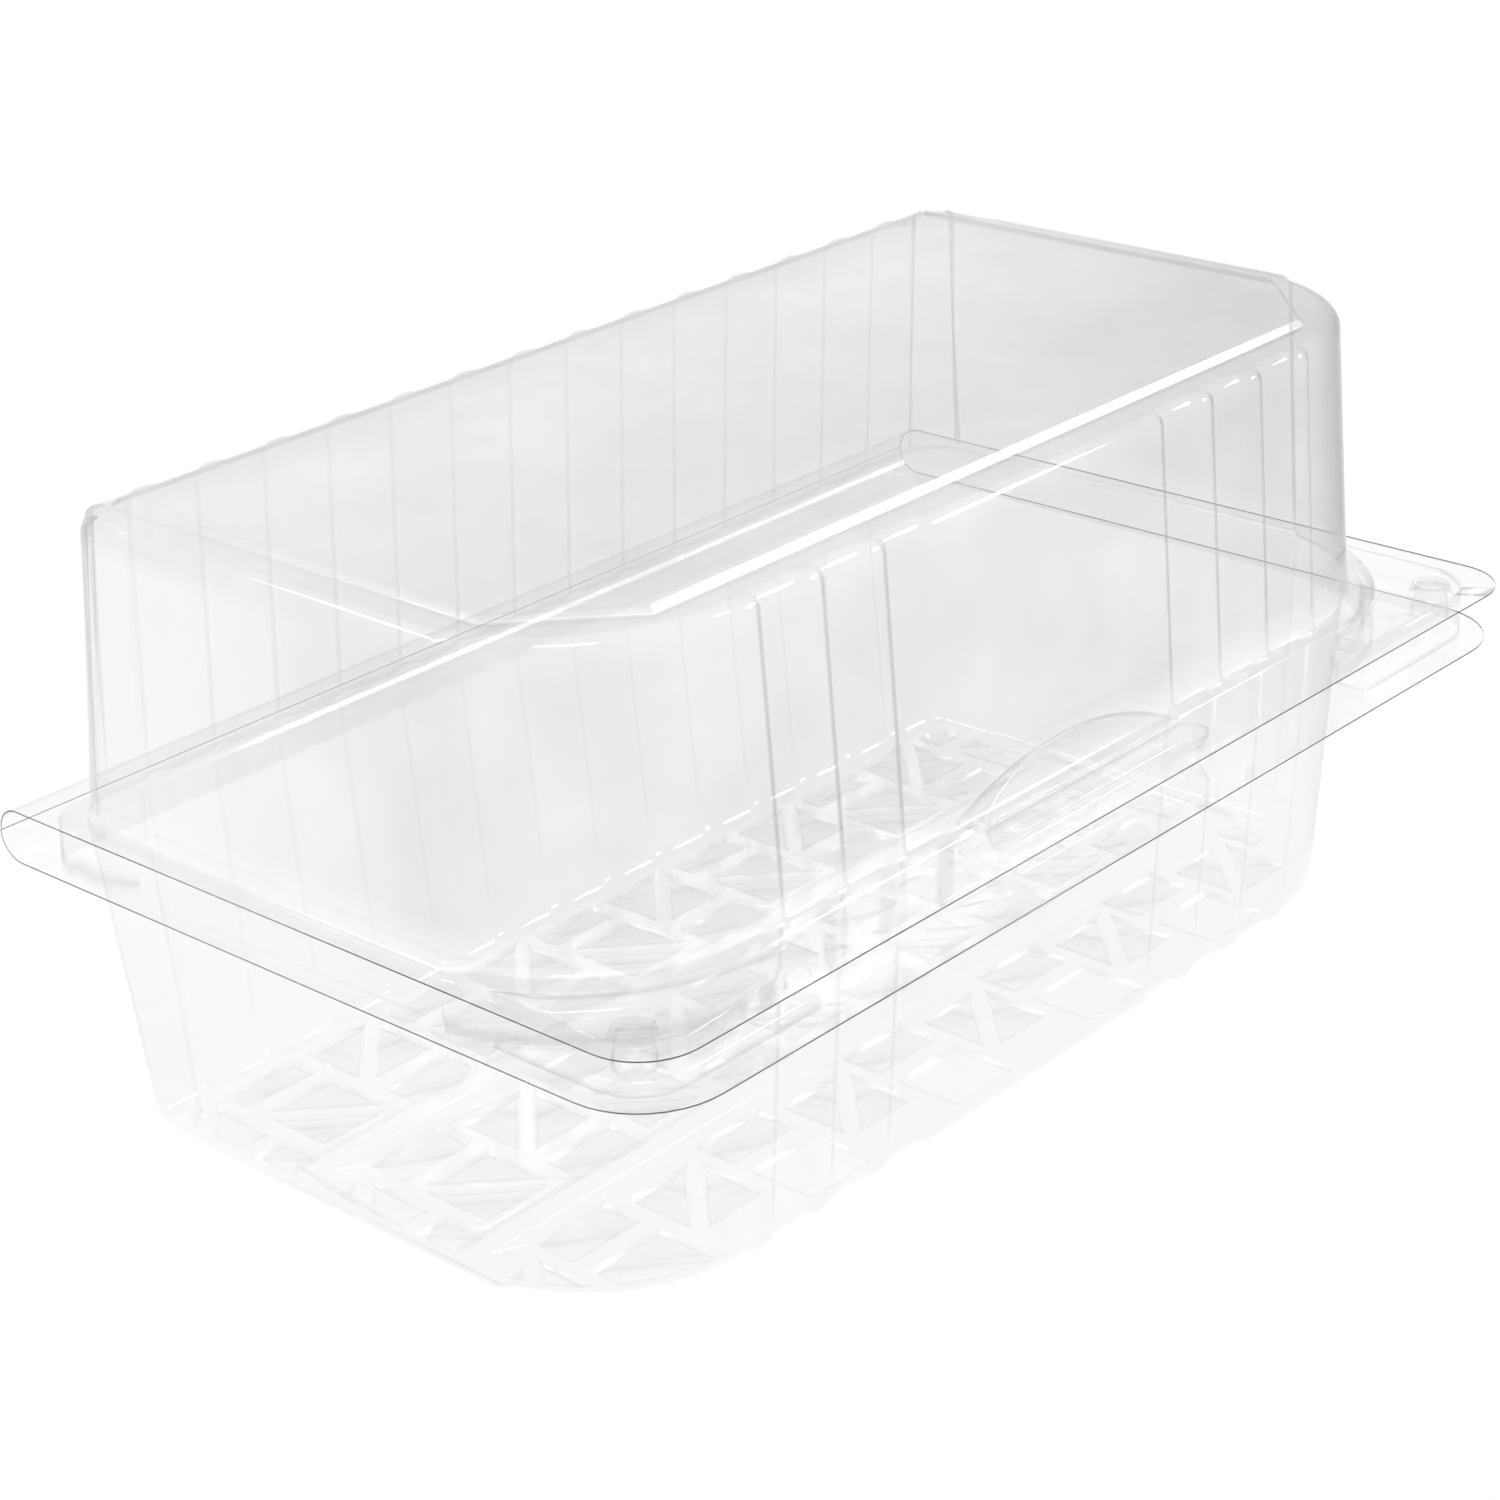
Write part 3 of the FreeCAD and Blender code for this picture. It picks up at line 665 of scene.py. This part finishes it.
def feet(bm, shape, tub, slope):
    """Feet under the floor, a bar across every whole one, and trimmed to the floor's outline."""
    reach = (tub.floor + tub.edge) * slope - tub.edge - tub.gap
    radius = tub.front_radius + reach
    back = tub.back + reach
    half = tub.foot / 2
    groove = tub.groove_foot / 2 + tub.gap
    lows = (shape.corner_y - radius, tub.groove_front + groove, tub.groove_back + groove)
    highs = (tub.groove_front - groove, tub.groove_back - groove, back)
    for column in range(12):
        x = (column - 5.5) * tub.foot_pitch_x
        odd = column % 2
        for row in range(7):
            y = (row - 3 + odd / 2) * tub.foot_pitch_y + tub.foot_start
            for low, high in zip(lows, highs):
                y0, y1 = max(y - half, low), min(y + half, high)
                if y1 - y0 > 0.004:
                    foot(bm, tub, x - half, x + half, y0, y1, odd, y1 - y0 > tub.foot - 1e-5)
    planes = [((0, shape.corner_y - radius), (0, -1)), ((0, back), (0, 1))]
    for side in (-1, 1):
        planes.append(((side * (shape.corner_x + radius), 0), (side, 0)))
        for n in range(1, 10):
            a = math.radians(10 * n)
            normal = (side * math.sin(a), -math.cos(a))
            planes.append(((side * shape.corner_x + radius * normal[0], shape.corner_y + radius * normal[1]),
                           normal))
        back_in = tub.back_radius * (1 - math.sqrt(0.5))
        planes.append(((side * (shape.corner_x + radius - back_in), back - back_in), (side, 1)))
    for place, normal in planes:
        bmesh.ops.bisect_plane(
            bm, geom=list(bm.verts) + list(bm.edges) + list(bm.faces), plane_co=(*place, 0),
            plane_no=(*normal, 0), clear_outer=True)
    small = [f for f in bm.faces if f.calc_area() < 8e-6]
    bmesh.ops.delete(bm, geom=small, context="FACES")
    for face in list(bm.faces):
        face.normal_update()
    bmesh.ops.inset_individual(
        bm, faces=list(bm.faces), thickness=tub.foot_draw, depth=0, use_even_offset=True)
    outer = {v for e in bm.edges if len(e.link_faces) == 1 for v in e.verts}
    moved(bm, [v for v in bm.verts if v not in outer], z=-tub.floor)


def foot(bm, tub, x0, x1, y0, y1, odd, whole):
    """One square foot, or the two halves beside its bar."""
    z = tub.floor
    if not whole:
        capped(bm, Pencil(bm, x0, y0, z).line(x1, y0).line(x1, y1).line(x0, y1).closed())
        return
    bar = tub.bar / math.sqrt(2)
    if odd:
        capped(bm, Pencil(bm, x0, y0, z).line(x1 - bar, y0).line(x0, y1 - bar).closed())
        capped(bm, Pencil(bm, x1, y0 + bar, z).line(x1, y1).line(x0 + bar, y1).closed())
    else:
        capped(bm, Pencil(bm, x0 + bar, y0, z).line(x1, y0).line(x1, y1 - bar).closed())
        capped(bm, Pencil(bm, x0, y0 + bar, z).line(x1 - bar, y1).line(x0, y1).closed())


def grooves(bm, tub):
    """Two long channels pressed up into the floor."""
    rims = []
    for y in (tub.groove_front, tub.groove_back):
        end, half = tub.groove_reach, tub.groove_foot / 2
        pencil = Pencil(bm, -end, y - half, tub.floor)
        edges = pencil.line(end, y - half).line(end, y + half).line(-end, y + half).closed()
        face = capped(bm, edges)
        face.normal_update()
        pressed(bm, face, tub.groove_draw, tub.groove_height)
        rims += edges
    return rims


class FOODBOX_OT_lid(Operator):
    """Forms the lid: raised panel, ribbed wall, flange with its recesses and buttons, and half the hinge"""

    bl_idname = "foodbox.lid"
    bl_label = "Form the lid"

    def execute(self, context):
        scene = context.scene
        sheet, shape, lid = scene.foodbox_sheet, scene.foodbox_shape, scene.foodbox_lid
        slope = math.tan(lid.draft)
        t = sheet.thickness
        top = LID_HIGH.z - lid.panel_rise
        face_z = lid.flange + t
        base = face_z + lid.root
        bm = bmesh.new()
        grown = (top - base) * slope
        start = wall_ring(bm, shape, sheet, lid.front_radius + grown, lid.back + grown, lid.back_radius, base)
        ring = start
        for outward, down in quarter(lid.root, 4):
            ring = ring.step(-down, outward, outward)
        outline, hinge_edge = flange_outline(bm, lid.flange_corner, face_z, LID_HIGH.y - HINGE_RADIUS)
        recess = lock_outline(bm, shape, t, face_z)
        lock_face = capped(bm, recess)
        holes = recess
        corners = []
        for side in (-1, 1):
            edges = corner_outline(bm, shape, t, face_z, side)
            holes = holes + edges
            corners.append((side, capped(bm, edges)))
        filled(bm, ring.edges + outline + holes)
        lock_face.normal_update()
        pressed(bm, lock_face, lid.recess_draw, -lid.recess)
        for side, face in corners:
            face.normal_update()
            pressed(bm, face, 0.0001, -lid.recess)
            with_button(bm, shape, face, side, shape.button_radius, lid.button_draw, lid.button)
        rise = top - lid.edge - base
        ring = start.step(rise, -rise * slope)
        for inward, up in quarter(lid.edge, 5):
            ring = ring.step(up, -inward, -inward)
        x = shape.corner_x + lid.front_radius - lid.panel_inset
        front = shape.corner_y - lid.front_radius + lid.panel_inset
        back, cut = lid.back - lid.panel_back, lid.panel_chamfer
        pencil = Pencil(bm, cut - x, front, top)
        pencil.line(x - cut, front).line(x, front + cut).line(x, back).line(-x, back).line(-x, front + cut)
        edges = pencil.closed()
        panel = capped(bm, edges)
        filled(bm, ring.edges + edges)
        panel.normal_update()
        pressed(bm, panel, lid.panel_draw, lid.panel_rise)
        rolled(bm, hinge_edge, True)

        def outward(bm):
            highest = max(bm.faces, key=lambda face: face.calc_center_median().z)
            return highest.normal.z

        piece = finished_sheet(bm, "lid_sheet", sheet, outward, lambda e: False)
        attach(piece, "cover")
        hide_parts("lid")
        return {"FINISHED"}


class FOODBOX_OT_ramp(Operator):
    """Forms the arched ramp at the foot of the lid's middle front panel"""

    bl_idname = "foodbox.ramp"
    bl_label = "Form the ramp"

    def execute(self, context):
        scene = context.scene
        sheet, shape, lid = scene.foodbox_sheet, scene.foodbox_shape, scene.foodbox_lid
        low = lid.flange + sheet.thickness
        half, height, front = lid.ramp_half, lid.ramp_height, lid.ramp_front
        radius = (half * half + height * height) / (2 * height)
        bm = bmesh.new()
        foot = bm.verts.new((-half, front, low))
        made = bmesh.ops.spin(
            bm, geom=[foot], cent=(0, front, low + height - radius), axis=(0, 1, 0),
            angle=2 * math.asin(half / radius), steps=20)
        arch = list(bm.edges)
        chord = bm.edges.new((foot, only(made["geom_last"], bmesh.types.BMVert)[0]))
        lean = Matrix.Identity(4)
        lean[1][2] = lid.ramp_run / height
        bmesh.ops.transform(bm, matrix=lean, space=Matrix.Translation((0, 0, -low)), verts=bm.verts)
        capped(bm, arch + [chord])
        behind = only(bmesh.ops.extrude_edge_only(bm, edges=arch)["geom"], bmesh.types.BMVert)
        wall = front + lid.ramp_run + sheet.thickness
        bmesh.ops.scale(bm, verts=behind, vec=(1, 0, 1), space=Matrix.Translation((0, -wall, 0)))

        def outward(bm):
            foremost = min(bm.faces, key=lambda face: face.calc_center_median().y)
            return -foremost.normal.y

        piece = finished_sheet(bm, "ramp_sheet", sheet, outward, lambda e: False)
        piece.modifiers["sheet"].material_offset_rim = 0
        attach(piece, "cover")
        return {"FINISHED"}


class FOODBOX_OT_stage(Operator):
    """Sets the white floor, the soft lamps and the camera"""

    bl_idname = "foodbox.stage"
    bl_label = "Set the stage"

    def execute(self, context):
        scene = context.scene
        stage = scene.foodbox_stage
        bm = bmesh.new()
        bmesh.ops.create_grid(bm, x_segments=1, y_segments=1, size=3.0)
        mesh = bpy.data.meshes.new("floor")
        bm.to_mesh(mesh)
        bm.free()
        floor = bpy.data.objects.new("floor", mesh)
        mesh.materials.append(white_floor(stage))
        scene.collection.objects.link(floor)
        world = bpy.data.worlds.new("white_room")
        scene.world = world
        f = Finish(world)
        light = f.node("Background", {}, {"Color": (1, 1, 1, 1), "Strength": 0.75 + 0.25 * seen_directly(f)})
        f.node("OutputWorld", {}, {"Surface": light})
        lamp(scene, "key", (2.1, -1.5, 1.8), stage.key, 0.9, 0.7)
        lamp(scene, "fill", (-1.4, 1.5, 2.3), stage.fill, 2.0, 0.3)
        lamp(scene, "over", (-1.0, -0.9, 2.15), stage.over, 1.0, 0.4)
        camera = bpy.data.cameras.new("camera")
        camera.lens = stage.lens
        camera.sensor_width = 36
        eye = bpy.data.objects.new("camera", camera)
        right = (0.66343584, -0.74738216, -0.03567624)
        up = (0.32874013, 0.24832029, 0.91118986)
        toward = (-0.67214791, -0.61624422, 0.41043909)
        turn = Matrix((right, up, toward)).transposed()
        eye.matrix_world = Matrix.Translation((-0.4091, -0.3631, 0.293)) @ turn.to_4x4()
        scene.collection.objects.link(eye)
        scene.camera = eye
        scene.view_settings.view_transform = "Standard"
        scene.cycles.transparent_max_bounces = 64
        return {"FINISHED"}


def lamp(scene, name, place, power, width, height):
    light = bpy.data.lights.new(name, "AREA")
    light.energy = power
    light.shape = "RECTANGLE"
    light.size = width
    light.size_y = height
    body = bpy.data.objects.new(name, light)
    aim = Vector((0, 0, 0.05)) - Vector(place)
    body.matrix_world = Matrix.Translation(place) @ aim.to_track_quat("-Z", "Y").to_matrix().to_4x4()
    scene.collection.objects.link(body)


class FOODBOX_PT_panel(Panel):
    """Lists the pieces of the food box"""

    bl_idname = "FOODBOX_PT_panel"
    bl_label = "Food box"
    bl_space_type = "VIEW_3D"
    bl_region_type = "UI"
    bl_category = "Food box"

    def draw(self, context):
        for operator in OPERATORS:
            self.layout.operator(operator.bl_idname)


GROUPS = {
    "foodbox_sheet": FoodBoxSheet,
    "foodbox_shape": FoodBoxShape,
    "foodbox_tub": FoodBoxTub,
    "foodbox_lid": FoodBoxLid,
    "foodbox_stage": FoodBoxStage,
}
OPERATORS = (FOODBOX_OT_tub, FOODBOX_OT_lid, FOODBOX_OT_ramp, FOODBOX_OT_stage)


def register():
    for cls in (*GROUPS.values(), *OPERATORS, FOODBOX_PT_panel):
        bpy.utils.register_class(cls)
    for name, group in GROUPS.items():
        setattr(bpy.types.Scene, name, PointerProperty(type=group))


def unregister():
    for name in GROUPS:
        delattr(bpy.types.Scene, name)
    for cls in reversed((*GROUPS.values(), *OPERATORS, FOODBOX_PT_panel)):
        bpy.utils.unregister_class(cls)


def main():
    register()
    bpy.ops.foodbox.tub()
    bpy.ops.foodbox.lid()
    bpy.ops.foodbox.ramp()
    bpy.ops.foodbox.stage()


if __name__ == "__main__":
    main()
